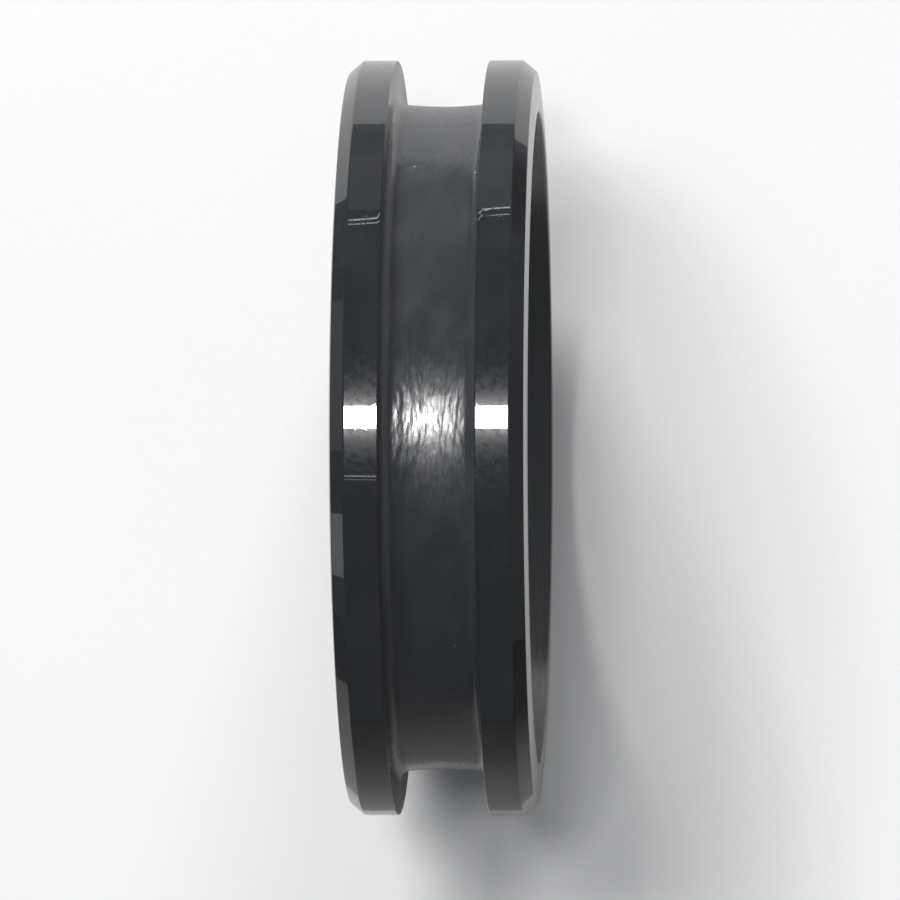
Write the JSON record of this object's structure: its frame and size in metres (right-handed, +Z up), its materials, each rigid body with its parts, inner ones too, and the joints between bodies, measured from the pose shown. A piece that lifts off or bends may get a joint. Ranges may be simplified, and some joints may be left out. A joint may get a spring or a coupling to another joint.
{
  "type": "channel ring blank",
  "caption": "One-piece black ceramic finger ring blank: two polished bevelled flanges either side of an open matte channel for an inlay, with a domed comfort bore.",
  "frame": {"origin": "the ring's centre: on its axis, halfway across its width, which is also the centre of its box", "axes": "+X along the ring's axis, square to its side faces; +Z up with the ring standing on its rim; +Y across, and the ring is the same all round, so Y and Z are alike"},
  "size_m": [0.006, 0.0238, 0.0238],
  "materials": {
    "black_ceramic": "mirror-polished lands, bevels, side faces and bore; the channel's floor, fillets and walls are left matte from grinding, with fine marks that run round the ring"
  },
  "bodies": {
    "root": {"ring_blank": "black_ceramic"}
  },
  "joints": []
}
